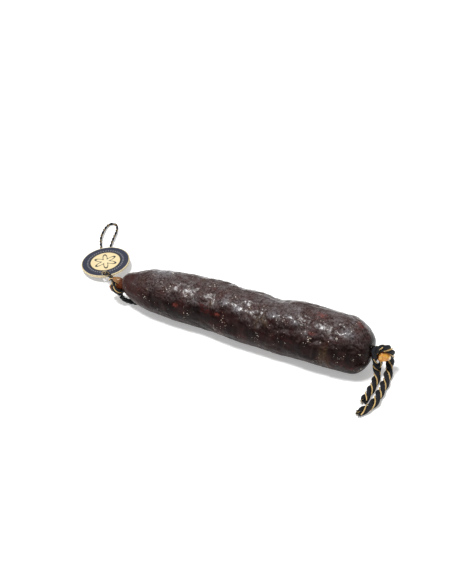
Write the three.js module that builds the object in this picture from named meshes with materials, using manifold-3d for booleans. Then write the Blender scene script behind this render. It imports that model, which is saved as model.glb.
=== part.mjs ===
// A cured blood sausage lying on its belly: a dark natural casing, tapered at one end and blunt at the
// other, each end gathered into a thin neck, tied with twisted cord, with the dried casing end beyond
// the tie. A round card tag is threaded on the hanging loop of the tapered end.
// Millimetres, +Z up, +X along the sausage towards its blunt end, belly on Z = 0.
import * as THREE from 'three';
import { mergeVertices } from 'three/addons/utils/BufferGeometryUtils.js';
import Module from 'manifold-3d';

const wasm = await Module();
wasm.setup();

const UP = new THREE.Vector3(0, 0, 1);

// ---- driving dimensions -------------------------------------------------------------------------

const SLIM_RADIUS = 21.4; // the filled casing a third of the way from its tapered end
const FULL_RADIUS = 23.5; // its fullest, three quarters of the way along
const SLIM_AT = -50; // X where the casing has its slim radius
const FULL_AT = 72; // X where it is fullest
const TAPER_TIP = -114.2; // X where the tapered end closes to the neck
const TAPER_LENGTH = 62;
const TAPER_POWER = 2.05; // 2 is an ellipse, more is blunter
const BLUNT_TIP = 109.6; // X where the blunt end closes to the neck
const BLUNT_LENGTH = 32;
const BLUNT_POWER = 2.8;
const NECK_RADIUS = 2.8; // the casing gathered tight under the cord
const BODY_ROWS = 60;
const BODY_SIDES = 36;

// The middle of the casing from the left neck, along the belly, to the right neck.
const CENTRE_LINE = [
  [-121.4, -0.3, 12.3],
  [-118.9, 0.4, 14.9],
  [-116.0, 1.2, 17.6],
  [-113.4, 1.8, 19.0],
  [-107, 2.6, 19.4],
  [-96, 3.6, 19.3],
  [-80, 4.3, 19.5],
  [-55, 4.0, 20.3],
  [-25, 2.5, 20.8],
  [5, 0.5, 21.0],
  [35, -0.6, 21.5],
  [65, -1.2, 22.2],
  [88, -1.7, 22.2],
  [102, -2.3, 21.3],
  [110, -2.7, 20.6],
  [116.2, -2.8, 20.4],
];

const PLY_RADIUS = 1.6; // one yarn of the cord, as it is wound round the neck
const TURN_RADIUS = 4.75; // from the middle of the neck to the middle of the yarn
const TURN_PITCH = 2.0; // between the two yarns of the wrap, which bed into each other
const ROPE_RADIUS = 3.2; // both yarns twisted together
const TAIL_RADIUS = 1.7; // the single yarn left over at the tapered end
const STRING_RADIUS = 0.95;

const TAG_RADIUS = 21.6;
const TAG_THICKNESS = 1.8;
const TAG_HOLE_RADIUS = 3;
const TAG_HOLE_FROM_MIDDLE = 17;
const TAG_HOLE_TURN = -66; // degrees from +X to the hole, which faces the knot
const TAG_TILT = -7; // degrees about Y: the side by the sausage is the higher one
const TAG_MIDDLE = [-148.6, 37.4, 6.5];

// ---- routes of the cords, from the knot outwards ------------------------------------------------

const LONG_TAIL = [
  [117.3, -3.6, 29.1],
  [119.2, -2.4, 28.8],
  [121.4, 0.2, 26.2],
  [122.7, 2.8, 21.8],
  [122.9, 4.2, 16.6],
  [122.8, 4.2, 11.2],
  [122.9, 2.4, 6.7],
  [123.8, -2.2, 4.0],
  [124.4, -8.2, 3.3],
  [124.7, -14.6, 3.3],
  [124.6, -21.0, 3.3],
  [124.3, -28.0, 3.5],
  [124.1, -34.6, 4.2],
  [123.4, -40.2, 3.9],
  [121.2, -45.4, 3.3],
  [118.4, -50.2, 3.3],
  [115.6, -54.6, 3.3],
];

const SHORT_TAIL = [
  [113.9, -6.3, 12.3],
  [114.4, -4.9, 8.6],
  [115.2, -5.6, 5.0],
  [116.2, -9.4, 3.4],
  [116.7, -15.0, 3.3],
  [116.7, -21.2, 3.3],
  [116.3, -27.6, 3.3],
  [115.5, -34.2, 3.3],
  [115.1, -40.5, 3.3],
];

const UPPER_TAIL = [
  [-113.2, -4.2, 11.0],
  [-112.2, -2.8, 7.6],
  [-110.6, -0.8, 4.6],
  [-107.4, 1.2, 2.4],
  [-102.5, 2.4, 1.75],
  [-98.0, 4.6, 1.75],
  [-95.2, 8.6, 1.75],
  [-94.0, 13.4, 1.75],
];

// The hanging loop: out of the knot, down through the hole of the tag, away and back again.
const LOOP_STRING = [
  [-125.6, 4.6, 18.0],
  [-129.6, 8.4, 17.2],
  [-134.6, 13.0, 14.6],
  [-139.6, 18.2, 11.2],
  [-142.2, 21.0, 7.4],
  [-143.6, 23.2, 4.0],
  [-146.4, 28.6, 1.9],
  [-152.0, 39.5, 1.4],
  [-158.8, 51.0, 1.9],
  [-165.0, 61.2, 3.0],
  [-169.6, 70.8, 3.6],
  [-172.0, 81.0, 3.2],
  [-172.9, 90.0, 2.2],
  [-171.0, 95.4, 1.6],
  [-166.2, 95.6, 1.6],
  [-162.6, 89.6, 2.4],
  [-160.2, 81.4, 3.3],
  [-158.4, 71.6, 3.3],
  [-155.6, 60.0, 2.5],
  [-150.6, 46.5, 1.6],
  [-146.6, 35.4, 1.5],
  [-143.6, 28.2, 2.4],
  [-141.8, 24.6, 4.4],
  [-140.9, 22.6, 7.6],
  [-138.0, 19.2, 11.8],
  [-132.6, 14.2, 14.2],
  [-128.0, 9.8, 16.4],
  [-124.2, 6.6, 17.0],
];

// ---- shared shapes ------------------------------------------------------------------------------

function smoothCurve(route) {
  const points = route.map(([x, y, z]) => new THREE.Vector3(x, y, z));
  return new THREE.CatmullRomCurve3(points, false, 'catmullrom', 0.5);
}

function welded(geometry) {
  const bare = geometry.clone();
  bare.deleteAttribute('normal');
  bare.deleteAttribute('uv');
  return mergeVertices(bare, 1e-4);
}

function solid(geometry) {
  const closed = welded(geometry);
  return new wasm.Manifold(
    new wasm.Mesh({
      numProp: 3,
      vertProperties: new Float32Array(closed.getAttribute('position').array),
      triVerts: new Uint32Array(closed.getIndex().array),
    }),
  );
}

function geometryOf(joined) {
  const mesh = joined.getMesh();
  const geometry = new THREE.BufferGeometry();
  geometry.setAttribute('position', new THREE.BufferAttribute(mesh.vertProperties, 3));
  geometry.setIndex(new THREE.BufferAttribute(mesh.triVerts, 1));
  geometry.computeVertexNormals();
  return geometry;
}

function unite(geometries) {
  const [first, ...others] = geometries.map(solid);
  return geometryOf(others.reduce((sum, next) => sum.add(next), first));
}

function aimed(geometry, from, direction) {
  const turn = new THREE.Quaternion().setFromUnitVectors(
    new THREE.Vector3(0, 1, 0),
    new THREE.Vector3(...direction).normalize(),
  );
  return geometry.applyQuaternion(turn).translate(...from);
}

function cordAlong(route, radius, sides, steps) {
  const section = new THREE.Shape();
  for (let side = 0; side < sides; side += 1) {
    const angle = (side / sides) * 2 * Math.PI;
    const corner = [radius * Math.cos(angle), radius * Math.sin(angle)];
    if (side === 0) section.moveTo(...corner);
    else section.lineTo(...corner);
  }
  section.closePath();
  return new THREE.ExtrudeGeometry(section, { steps, extrudePath: smoothCurve(route) });
}

// One turn of yarn: a ring whose own axis is Y.
function yarnTurn(alongAxis) {
  const profile = [];
  const corners = 10;
  for (let corner = 0; corner <= corners; corner += 1) {
    const angle = (corner / corners) * 2 * Math.PI;
    profile.push(
      new THREE.Vector2(
        TURN_RADIUS + PLY_RADIUS * Math.cos(angle),
        alongAxis + PLY_RADIUS * Math.sin(angle),
      ),
    );
  }
  return new THREE.LatheGeometry(profile, 24);
}

function knotLump(middle, radius) {
  return new THREE.SphereGeometry(radius, 14, 10).translate(...middle);
}

// The casing beyond the tie: a bulb that narrows to a blunt tip, along its own Y.
function casingEnd(length, bulbRadius, tipRadius) {
  const outline = new THREE.SplineCurve([
    new THREE.Vector2(NECK_RADIUS * 0.8, 0),
    new THREE.Vector2(bulbRadius, length * 0.32),
    new THREE.Vector2(bulbRadius * 0.82, length * 0.62),
    new THREE.Vector2(tipRadius, length),
  ]);
  const profile = [new THREE.Vector2(0, 0), ...outline.getPoints(10), new THREE.Vector2(0, length)];
  return new THREE.LatheGeometry(profile, 16);
}

function piece(name, geometry, color, roughness) {
  const material = new THREE.MeshStandardMaterial({ color, roughness, metalness: 0 });
  const mesh = new THREE.Mesh(geometry, material);
  mesh.name = name;
  return mesh;
}

// ---- the sausage --------------------------------------------------------------------------------

// A rounded end: 0 at its tip, 1 from its full length onwards.
function endCap(fromTip, length, power) {
  if (fromTip <= 0) return 0;
  const left = Math.max(0, 1 - fromTip / length);
  return (1 - left ** power) ** (1 / power);
}

function casingRadius(x) {
  const along = THREE.MathUtils.smoothstep(x, SLIM_AT, FULL_AT);
  const filled = THREE.MathUtils.lerp(SLIM_RADIUS, FULL_RADIUS, along);
  const taper = endCap(x - TAPER_TIP, TAPER_LENGTH, TAPER_POWER);
  const blunt = endCap(BLUNT_TIP - x, BLUNT_LENGTH, BLUNT_POWER);
  return Math.max(NECK_RADIUS, filled * taper * blunt);
}

// A tube of changing radius round the centre line. Its underside is pressed flat where it rests.
function filledCasing() {
  const line = smoothCurve(CENTRE_LINE);
  const skin = new THREE.CylinderGeometry(1, 1, 1, BODY_SIDES, BODY_ROWS);
  const place = skin.getAttribute('position');
  for (let i = 0; i < place.count; i += 1) {
    const along = place.getY(i) + 0.5;
    const middle = line.getPoint(along);
    const ahead = line.getTangent(along);
    const across = new THREE.Vector3().crossVectors(UP, ahead).normalize();
    const upward = new THREE.Vector3().crossVectors(ahead, across);
    const radius = casingRadius(middle.x);
    const point = middle
      .addScaledVector(upward, radius * place.getX(i))
      .addScaledVector(across, radius * place.getZ(i));
    place.setXYZ(i, point.x, point.y, Math.max(0, point.z));
  }
  return skin;
}

function sausage() {
  const leftEnd = aimed(casingEnd(5.2, 2.7, 1.4), [-121.1, -0.3, 12.2], [-0.95, 0.1, -0.12]);
  const leftFold = aimed(casingEnd(8.8, 2.4, 1.2), [-113.4, 2.0, 20.0], [-0.83, 0.38, 0.4]);
  const rightEnd = aimed(casingEnd(10, 3.8, 1.3), [115.3, -2.9, 19.8], [0.99, -0.11, 0.05]);
  return piece('sausage', unite([filledCasing(), leftEnd, leftFold, rightEnd]), 0x2c2120, 0.32);
}

// ---- the ties -----------------------------------------------------------------------------------

function wrap(middle, axis) {
  return [-0.5, 0.5].map((turn) => aimed(yarnTurn(turn * TURN_PITCH), middle, axis));
}

function upperTie() {
  const turns = wrap([-119.0, 0.4, 14.8], [-0.7, -0.19, -0.68]);
  const throatKnot = knotLump([-114.6, -3.4, 14.0], 2.3);
  const stringKnot = knotLump([-122.9, 3.6, 18.0], 2.2);
  return piece('upper_tie', unite([...turns, throatKnot, stringKnot]), 0x17171c, 0.85);
}

function lowerTie() {
  const turns = wrap([113.6, -2.8, 20.5], [1, 0, 0]);
  const topKnot = knotLump([113.4, -4.3, 26.8], 2.4);
  const frontKnot = knotLump([113.4, -6.9, 15.7], 2.9);
  return piece('lower_tie', unite([...turns, topKnot, frontKnot]), 0x17171c, 0.85);
}

// ---- the tag ------------------------------------------------------------------------------------

function tag() {
  const face = new THREE.Shape().absarc(0, 0, TAG_RADIUS, 0, 2 * Math.PI, false);
  const turn = THREE.MathUtils.degToRad(TAG_HOLE_TURN);
  const holeX = TAG_HOLE_FROM_MIDDLE * Math.cos(turn);
  const holeY = TAG_HOLE_FROM_MIDDLE * Math.sin(turn);
  face.holes.push(new THREE.Path().absarc(holeX, holeY, TAG_HOLE_RADIUS, 0, 2 * Math.PI, true));
  const card = new THREE.ExtrudeGeometry(face, {
    depth: TAG_THICKNESS,
    bevelEnabled: false,
    curveSegments: 24,
  }).translate(0, 0, -TAG_THICKNESS / 2);
  const mesh = piece('tag', card, 0x3a3d52, 0.5);
  mesh.position.set(...TAG_MIDDLE);
  mesh.rotation.y = THREE.MathUtils.degToRad(TAG_TILT);
  return mesh;
}

// ---- the whole ----------------------------------------------------------------------------------

const whole = new THREE.Group();
whole.add(sausage());
whole.add(upperTie());
whole.add(piece('upper_tail', cordAlong(UPPER_TAIL, TAIL_RADIUS, 8, 10), 0x17171c, 0.85));
whole.add(tag());
whole.add(piece('tag_string', cordAlong(LOOP_STRING, STRING_RADIUS, 8, 48), 0x17171c, 0.85));
whole.add(lowerTie());
whole.add(piece('lower_tail_long', cordAlong(LONG_TAIL, ROPE_RADIUS, 10, 14), 0x17171c, 0.85));
whole.add(piece('lower_tail_short', cordAlong(SHORT_TAIL, ROPE_RADIUS, 10, 8), 0x17171c, 0.85));

export default whole;
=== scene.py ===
# A cured blood sausage on a pale floor: dark lumpy natural casing, both ends tied with navy and gold
# cord, a round card tag on the hanging loop. Metres, +Z up, +X towards the blunt end.
from math import cos, pi, radians, sin

import bpy
import numpy as np
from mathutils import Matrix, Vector, noise


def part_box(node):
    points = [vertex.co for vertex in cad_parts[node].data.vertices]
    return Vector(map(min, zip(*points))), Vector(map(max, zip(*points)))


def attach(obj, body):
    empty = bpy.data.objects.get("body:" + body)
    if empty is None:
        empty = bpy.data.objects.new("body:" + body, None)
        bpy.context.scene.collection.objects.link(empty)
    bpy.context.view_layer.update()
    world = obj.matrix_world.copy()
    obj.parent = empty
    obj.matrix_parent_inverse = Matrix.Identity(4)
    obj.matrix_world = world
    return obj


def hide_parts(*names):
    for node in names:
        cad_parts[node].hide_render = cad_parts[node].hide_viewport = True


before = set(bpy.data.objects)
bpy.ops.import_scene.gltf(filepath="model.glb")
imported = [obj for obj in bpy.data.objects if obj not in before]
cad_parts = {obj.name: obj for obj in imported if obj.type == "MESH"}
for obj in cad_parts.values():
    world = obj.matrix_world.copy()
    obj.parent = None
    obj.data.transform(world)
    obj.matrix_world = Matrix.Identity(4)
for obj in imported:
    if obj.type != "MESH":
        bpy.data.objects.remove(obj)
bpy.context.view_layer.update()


# ---- the camera ---------------------------------------------------------------------------------
# It stands to the right of the middle and looks down on the sausage, so that the blunt end is the
# near one and the tag lies far off to the left.

MM = 0.001
CAMERA_AZIMUTH = radians(22)
CAMERA_ELEVATION = radians(40)
CAMERA_DISTANCE = 1.148
FRAME_HEIGHT = 0.4824
SENSOR_LONG_SIDE = 36.0
AIM_LEFT = 17.0 * MM
AIM_UP = 18.9 * MM


def aimed_camera():
    """Stands the camera back from the sausage and aims it a little above and to the left of it."""
    back = Vector((
        sin(CAMERA_AZIMUTH) * cos(CAMERA_ELEVATION),
        -cos(CAMERA_AZIMUTH) * cos(CAMERA_ELEVATION),
        sin(CAMERA_ELEVATION),
    ))
    right = Vector((cos(CAMERA_AZIMUTH), sin(CAMERA_AZIMUTH), 0))
    upward = back.cross(right)
    low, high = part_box("sausage")
    middle = (Vector(low) + Vector(high)) / 2
    aim = middle - right * AIM_LEFT + upward * AIM_UP
    data = bpy.data.cameras.new("camera")
    data.sensor_width = SENSOR_LONG_SIDE
    data.lens = SENSOR_LONG_SIDE * CAMERA_DISTANCE / FRAME_HEIGHT
    data.clip_end = 20
    camera = bpy.data.objects.new("camera", data)
    camera.location = aim + back * CAMERA_DISTANCE
    camera.rotation_mode = "QUATERNION"
    camera.rotation_quaternion = (-back).to_track_quat("-Z", "Y")
    bpy.context.collection.objects.link(camera)
    bpy.context.scene.camera = camera


aimed_camera()


# ---- the lower cord's two tails -----------------------------------------------------------------
# Waxed cotton cord about 6.4 mm across: two navy plies laid loosely round each other, with a yellow
# metallic thread in each groove. One tail leaves over the top of the neck and one in front of it, and
# both drop and lie on the floor.

ROPE_DIAMETER = 6.4 * MM
PLY_RADIUS = 1.75 * MM
GOLD_RADIUS = 0.5 * MM
LAY_LENGTH = 23 * MM
STRANDS_IN_PLY = 7

LONG_TAIL = [
    (117.3, -3.6, 29.1), (119.2, -2.4, 28.8), (121.4, 0.2, 26.2), (122.7, 2.8, 21.8),
    (122.9, 4.2, 16.6), (122.8, 4.2, 11.2), (122.9, 2.4, 6.7), (123.8, -2.2, 4.0),
    (124.4, -8.2, 3.3), (124.7, -14.6, 3.3), (124.6, -21.0, 3.3), (124.3, -28.0, 3.5),
    (124.1, -34.6, 4.2), (123.4, -40.2, 3.9), (121.2, -45.4, 3.3), (118.4, -50.2, 3.3),
    (115.6, -54.6, 3.3),
]
SHORT_TAIL = [
    (113.9, -6.3, 12.3), (114.4, -4.9, 8.6), (115.2, -5.6, 5.0), (116.2, -9.4, 3.4),
    (116.7, -15.0, 3.3), (116.7, -21.2, 3.3), (116.3, -27.6, 3.3), (115.5, -34.2, 3.3),
    (115.1, -40.5, 3.3),
]


def laid_route(points, spacing):
    """A smooth line through points in millimetres, as evenly spaced points in metres."""
    given = np.array(points, dtype=float) * MM
    ends = np.vstack([2 * given[0] - given[1], given, 2 * given[-1] - given[-2]])
    t = np.linspace(0, 1, 24, endpoint=False)[:, None]
    runs = []
    for a, b, c, d in zip(ends, ends[1:], ends[2:], ends[3:]):
        curve = 2 * b + (c - a) * t + (2 * a - 5 * b + 4 * c - d) * t**2
        runs.append((curve + (3 * b - a - 3 * c + d) * t**3) / 2)
    fine = np.vstack([*runs, given[-1:]])
    along = np.concatenate([[0], np.cumsum(np.linalg.norm(np.diff(fine, axis=0), axis=1))])
    wanted = np.linspace(0, along[-1], max(3, round(along[-1] / spacing) + 1))
    return np.column_stack([np.interp(wanted, along, fine[:, k]) for k in range(3)])


def distance_along(line):
    """How far along the line each of its points is."""
    return np.concatenate([[0], np.cumsum(np.linalg.norm(np.diff(line, axis=0), axis=1))])


def carried_frame(line):
    """Two unit vectors across the line at each point, carried along it without any twist."""
    ahead = np.gradient(line, axis=0)
    ahead /= np.linalg.norm(ahead, axis=1)[:, None]
    first = np.cross(ahead[0], (0, 0, 1) if abs(ahead[0][2]) < 0.9 else (0, 1, 0))
    across = [first / np.linalg.norm(first)]
    for direction in ahead[1:]:
        side = across[-1] - direction * np.dot(across[-1], direction)
        across.append(side / np.linalg.norm(side))
    across = np.array(across)
    return across, np.cross(ahead, across)


def round_line(line, radius, sides, ridges=0, ridge_height=0.0, ridge_turns=0.0):
    """Rings of points round a line. Ridges wind round it, as the strands of a ply do."""
    across, upward = carried_frame(line)
    angle = np.linspace(0, 2 * pi, sides, endpoint=False)[None, :]
    travel = distance_along(line)[:, None]
    swell = 1 + ridge_height * np.abs(np.sin(ridges / 2 * (angle + ridge_turns * travel)))
    reach = np.broadcast_to(np.asarray(radius), (len(line),))[:, None] * swell
    out_across = (reach * np.cos(angle))[:, :, None] * across[:, None, :]
    out_upward = (reach * np.sin(angle))[:, :, None] * upward[:, None, :]
    return line[:, None, :] + out_across + out_upward


def wound_line(line, offset, lay_length, start_turn):
    """The middle of one ply of a twisted cord whose own middle is the line, wound left-handed."""
    across, upward = carried_frame(line)
    turn = -(2 * pi * (distance_along(line) / lay_length + start_turn))[:, None]
    return line + offset * (np.cos(turn) * across + np.sin(turn) * upward)


def ringed_piece(name, tubes, materials, closed=False):
    """One object made of closed tubes. A tube is its rings of points and the material it has."""
    points, faces, places, kinds = [], [], [], []
    for rings, kind in tubes:
        rows, sides = rings.shape[:2]
        base = len(points)
        points.extend(map(tuple, rings.reshape(-1, 3)))
        travel = distance_along(rings.mean(axis=1)) / MM
        for i in range(rows if closed else rows - 1):
            here, there = base + i * sides, base + (i + 1) % rows * sides
            for k in range(sides):
                beside = (k + 1) % sides
                faces.append((here + k, here + beside, there + beside, there + k))
                u, v, w = k / sides, (k + 1) / sides, travel[min(i + 1, rows - 1)]
                places += [(u, travel[i]), (v, travel[i]), (v, w), (u, w)]
                kinds.append(kind)
        if not closed:
            for i in (0, rows - 1):
                row = [base + i * sides + k for k in range(sides)]
                faces.append(row[::-1] if i == 0 else row)
                places += [(k / sides, travel[i]) for k in range(sides)]
                kinds.append(kind)
    mesh = bpy.data.meshes.new(name)
    mesh.from_pydata(points, [], faces)
    for material in materials:
        mesh.materials.append(material)
    mesh.polygons.foreach_set("material_index", kinds)
    mesh.polygons.foreach_set("use_smooth", [True] * len(faces))
    mesh.uv_layers.new(name="wrap").data.foreach_set("uv", np.array(places).ravel())
    piece = bpy.data.objects.new(name, mesh)
    bpy.context.collection.objects.link(piece)
    return piece


def linear(code):
    """An sRGB hex colour as the linear colour that a shader takes."""
    channels = [int(code[i:i + 2], 16) / 255 for i in (0, 2, 4)]
    return [c / 12.92 if c <= 0.04045 else ((c + 0.055) / 1.055) ** 2.4 for c in channels] + [1.0]


def add_node(tree, kind, inputs=None, ramp=None, **settings):
    """Adds a node. Inputs are values, or the outputs of other nodes that feed those sockets."""
    node = tree.nodes.new(kind)
    for name, value in settings.items():
        setattr(node, name, value)
    for socket, value in (inputs or {}).items():
        if isinstance(value, bpy.types.NodeSocket):
            tree.links.new(value, node.inputs[socket])
        else:
            node.inputs[socket].default_value = value
    if ramp:
        steps = node.color_ramp.elements
        while len(steps) < len(ramp):
            steps.new(1.0)
        for step, (place, code) in zip(steps, ramp):
            step.position = place
            step.color = linear(code)
    return node


def new_material(name):
    """A material with an empty tree, and its shader, already joined to the output."""
    material = bpy.data.materials.new(name)
    material.use_nodes = True
    tree = material.node_tree
    tree.nodes.clear()
    shader = add_node(tree, "ShaderNodeBsdfPrincipled")
    add_node(tree, "ShaderNodeOutputMaterial", {"Surface": shader.outputs[0]})
    return material, tree, shader


def waxed_cotton():
    """Dyed navy cotton, spun and waxed: nearly black, paler where its fibres stand up.
    Fibres are about 0.02 mm; they are drawn as 0.35 mm yarns so that they show."""
    material, tree, shader = new_material("waxed_cotton")
    wrap = add_node(tree, "ShaderNodeUVMap", uv_map="wrap")
    slant = add_node(tree, "ShaderNodeMapping", {
        "Vector": wrap.outputs[0], "Rotation": (0, 0, radians(28)), "Scale": (9, 0.9, 1),
    })
    fibres = add_node(tree, "ShaderNodeTexWave", {
        "Vector": slant.outputs[0], "Scale": 0.55, "Distortion": 2.2, "Detail": 3, "Detail Scale": 1.6,
    })
    place = add_node(tree, "ShaderNodeTexCoord")
    dye = add_node(tree, "ShaderNodeTexNoise", {
        "Vector": place.outputs["Object"], "Scale": 1 / (4 * MM), "Detail": 4, "Roughness": 0.65,
    })
    shade = add_node(tree, "ShaderNodeMath", {0: fibres.outputs["Fac"], 1: dye.outputs["Fac"]},
                     operation="MULTIPLY")
    colour = add_node(tree, "ShaderNodeValToRGB", {"Fac": shade.outputs[0]}, ramp=[
        (0.05, "040406"), (0.3, "0A0B12"), (0.65, "1F2233"),
    ])
    gloss = add_node(tree, "ShaderNodeMapRange", {
        "Value": dye.outputs["Fac"], "To Min": 0.6, "To Max": 0.9,
    })
    bump = add_node(tree, "ShaderNodeBump", {
        "Height": fibres.outputs["Fac"], "Strength": 0.8, "Distance": 0.25 * MM,
    })
    tree.links.new(colour.outputs[0], shader.inputs["Base Color"])
    tree.links.new(gloss.outputs[0], shader.inputs["Roughness"])
    tree.links.new(bump.outputs[0], shader.inputs["Normal"])
    return material


def metallic_thread():
    """Yellow foil wrapped round a cotton core: brassy and mottled with tarnish, with a painted highlight,
    pale cream, along the crest of each wrap.
    The foil is 0.3 mm wide, drawn as 0.6 mm wraps."""
    material, tree, shader = new_material("foil_wrapped_thread")
    wrap = add_node(tree, "ShaderNodeUVMap", uv_map="wrap")
    slant = add_node(tree, "ShaderNodeMapping", {
        "Vector": wrap.outputs[0], "Rotation": (0, 0, radians(35)), "Scale": (2, 1.2, 1),
    })
    foil = add_node(tree, "ShaderNodeTexWave", {
        "Vector": slant.outputs[0], "Scale": 0.5, "Distortion": 1.0, "Detail": 2,
    })
    place = add_node(tree, "ShaderNodeTexCoord")
    tarnish = add_node(tree, "ShaderNodeTexNoise", {
        "Vector": place.outputs["Object"], "Scale": 1 / (2.5 * MM), "Detail": 3,
    })
    # painted highlight: the crest of each foil wrap is painted pale cream; the tarnish mottling is the
    # thread's own
    shade = add_node(tree, "ShaderNodeMix", {
        0: 0.5, 2: foil.outputs["Fac"], 3: tarnish.outputs["Fac"],
    })
    colour = add_node(tree, "ShaderNodeValToRGB", {"Fac": shade.outputs[0]}, ramp=[
        (0.25, "8A5A1E"), (0.42, "D9A64E"), (0.62, "F5DDA0"),
    ])
    gloss = add_node(tree, "ShaderNodeMapRange", {
        "Value": tarnish.outputs["Fac"], "To Min": 0.3, "To Max": 0.6,
    })
    bump = add_node(tree, "ShaderNodeBump", {
        "Height": foil.outputs["Fac"], "Strength": 0.6, "Distance": 0.15 * MM,
    })
    tree.links.new(colour.outputs[0], shader.inputs["Base Color"])
    tree.links.new(gloss.outputs[0], shader.inputs["Roughness"])
    tree.links.new(bump.outputs[0], shader.inputs["Normal"])
    shader.inputs["Metallic"].default_value = 0.1
    return material


COTTON = waxed_cotton()
FOIL = metallic_thread()


def twisted_cord(name, line, ply_radius, lay_length, start_turn=0.0, looseness=0.0,
                 plies=2, gold_radius=0.0, threads=(0.25, 0.75)):
    """Plies laid round each other, tight where they leave and looser half way along, with metallic
    threads in their grooves. A ply that would sink into the floor is lifted on to it."""
    share = np.linspace(-1, 1, len(line))[:, None]
    offset = ply_radius * (1.0 if plies == 2 else 1.15) * (1 + looseness * np.exp(-(share / 0.4) ** 2))
    offset *= 1 - 1.2 * looseness * np.exp(-((share + 0.9) / 0.3) ** 2)
    strand_lean = 2 * pi / (9 * ply_radius)
    tubes = []
    for ply in range(plies):
        middle = wound_line(line, offset, lay_length, start_turn + ply / plies)
        middle[:, 2] = np.maximum(middle[:, 2], ply_radius)
        rings = round_line(middle, ply_radius * 0.95, 22, STRANDS_IN_PLY, 0.09, strand_lean)
        tubes.append((rings, 0))
    for groove in threads if gold_radius else ():
        middle = wound_line(line, ply_radius * 1.38, lay_length, start_turn + groove)
        middle[:, 2] = np.maximum(middle[:, 2], gold_radius)
        tubes.append((round_line(middle, gold_radius, 8, 2, 0.12, strand_lean * 2), 1))
    return ringed_piece(name, tubes, [COTTON, FOIL])


def frayed_end(name, tip, heading, spread, seed, fibres=26, reach=3.4 * MM):
    """The cut end of a cord: short loose yarns that splay from it."""
    chance = np.random.default_rng(seed)
    heading = np.array(heading, dtype=float) / np.linalg.norm(heading)
    side = np.cross(heading, (0, 0, 1))
    side /= np.linalg.norm(side)
    over = np.cross(side, heading)
    tubes = []
    for count in range(fibres):
        out = chance.uniform(0, 2 * pi)
        far = chance.uniform(0.15, 1.0) * spread
        away = side * cos(out) + over * sin(out)
        root = np.array(tip) + away * far * 0.8 - heading * 0.8 * MM
        length = reach * chance.uniform(0.45, 1.0)
        t = np.linspace(0, 1, 7)[:, None]
        droop = -0.5 * MM * t**2 * np.array((0, 0, 1.0))
        strand = root + heading * length * t + away * spread * 0.55 * t**1.8 + droop
        strand[:, 2] = np.maximum(strand[:, 2], 0.25 * MM)
        radius = np.linspace(0.3, 0.16, 7) * MM
        tubes.append((round_line(strand, radius, 6), 0 if count % 6 else 1))
    return ringed_piece(name, tubes, [COTTON, FOIL])


def settle(piece, slot, *nodes):
    """The piece rides on the sausage and stands for those plain nodes; its finish, slot, is not used."""
    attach(piece, "root")
    if nodes:
        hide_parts(*nodes)


def lower_tail(name, node, route, start_turn, looseness, seed):
    """One loose tail of the thick cord, with the tuft at its cut end."""
    line = laid_route(route, 0.45 * MM)
    tail = twisted_cord(name, line, PLY_RADIUS, LAY_LENGTH, start_turn, looseness, 2, GOLD_RADIUS)
    tuft = frayed_end(name + "_cut_end", line[-1], line[-1] - line[-6], ROPE_DIAMETER / 2.4, seed)
    settle(tail, "cord", node)
    settle(tuft, "cord")


lower_tail("long_rope_tail", "lower_tail_long", LONG_TAIL,
           start_turn=0.1, looseness=0.15, seed=3)
lower_tail("short_rope_tail", "lower_tail_short", SHORT_TAIL,
           start_turn=0.35, looseness=0.0, seed=4)


# ---- the upper cord's short tail ----------------------------------------------------------------
# What is left of the thin cord that closes the tapered end: three fine cotton plies without a gold
# thread, which drop from the knot and lie on the floor beside the belly.

UPPER_TAIL_RADIUS = 1.7 * MM
THIN_PLY_SHARE = 0.57
THIN_LAY_LENGTH = 11 * MM
UPPER_TAIL = [
    (-113.2, -4.2, 11.0), (-112.2, -2.8, 7.6), (-110.6, -0.8, 4.6), (-107.4, 1.2, 2.4),
    (-102.5, 2.4, 1.75), (-98.0, 4.6, 1.75), (-95.2, 8.6, 1.75), (-94.0, 13.4, 1.75),
]


def upper_tail():
    """The thin tail, with the tuft at its cut end."""
    line = laid_route(UPPER_TAIL, 0.4 * MM)
    tail = twisted_cord("thin_tail", line, UPPER_TAIL_RADIUS * THIN_PLY_SHARE, THIN_LAY_LENGTH, plies=3)
    tuft = frayed_end("thin_tail_cut_end", line[-1], line[-1] - line[-6],
                      spread=1.3 * MM, seed=5, fibres=14, reach=2.4 * MM)
    settle(tail, "cord", "upper_tail")
    settle(tuft, "cord")


upper_tail()


# ---- the tag ------------------------------------------------------------------------------------
# A 43 mm disc of pressed board, printed navy with a pale middle on both faces, varnished, and die
# cut, so that its pale core shows at the rim and in the hole. It lies tilted on the string through it.

TAG_RADIUS = 21.6 * MM
TAG_THICKNESS = 1.8 * MM
TAG_HOLE_RADIUS = 3 * MM
TAG_HOLE_FROM_MIDDLE = 17 * MM
TAG_HOLE_TURN = radians(-66)
TAG_TILT = radians(-7)
TAG_PALE_MIDDLE = 0.6
TAG_NAVY_EDGE = 0.955
TAG_DOT_RING = 0.73
TAG_DOTS = 44.0
TAG_PETALS = 6.0


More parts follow.
